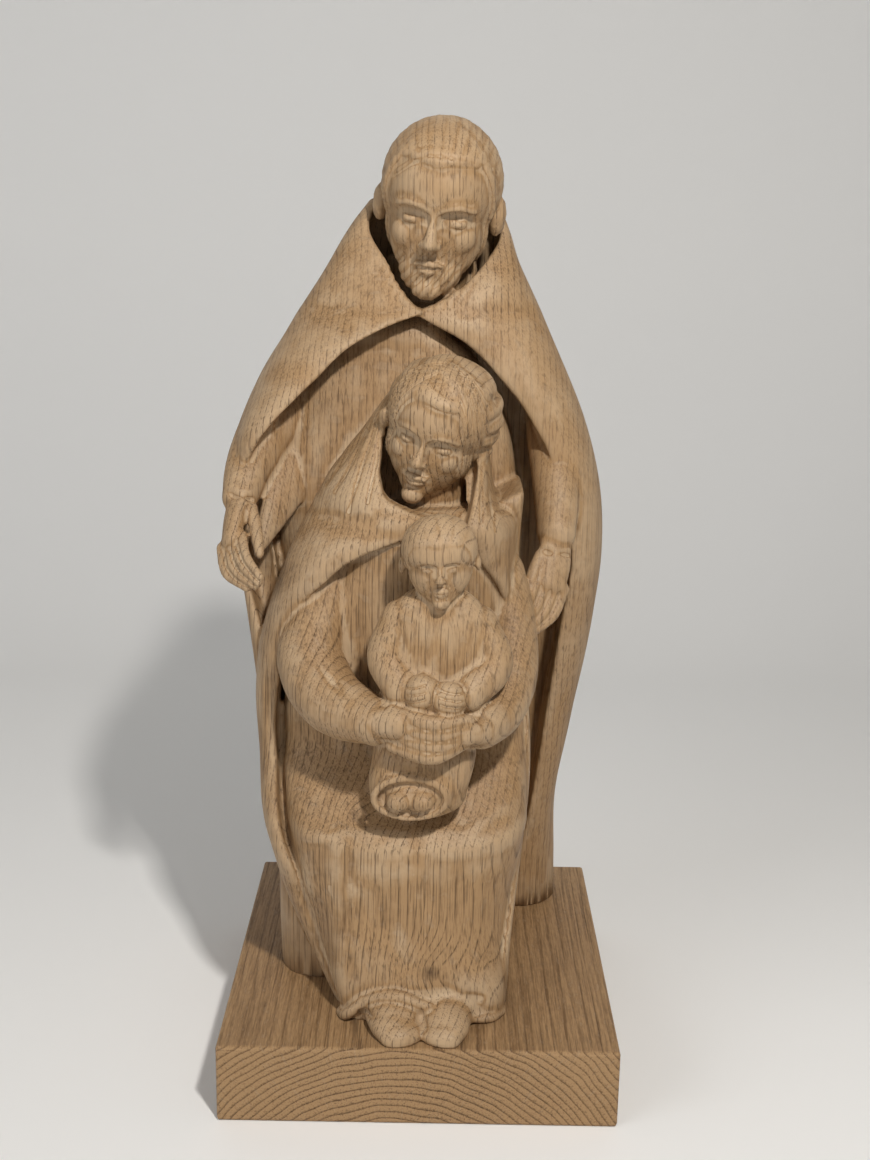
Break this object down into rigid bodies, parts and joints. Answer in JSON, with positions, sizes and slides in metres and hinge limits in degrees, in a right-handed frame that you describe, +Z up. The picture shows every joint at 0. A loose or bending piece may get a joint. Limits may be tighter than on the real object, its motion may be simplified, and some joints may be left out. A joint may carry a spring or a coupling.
{
  "type": "holy family statue",
  "caption": "Carved oak statue of a seated mother holding a child, with a bearded father in a long cloak standing behind them, on a square-edged oak plinth.",
  "frame": {"origin": "middle of the plinth's underside", "axes": "+X to the viewer's right, +Y to the back, away from the side that the figures face, +Z up"},
  "size_m": [0.1563, 0.16, 0.3673],
  "materials": {
    "carved_oak": "hand-carved oak, thinly waxed, semi-matt, with dark pores along the upright grain and pale worn creases and edges",
    "plinth_oak": "planed oak board, thinly waxed, semi-matt, with end grain and its growth rings on the front face"
  },
  "bodies": {
    "root": {"holy_family_group": "carved_oak", "plinth": "plinth_oak"}
  },
  "joints": []
}
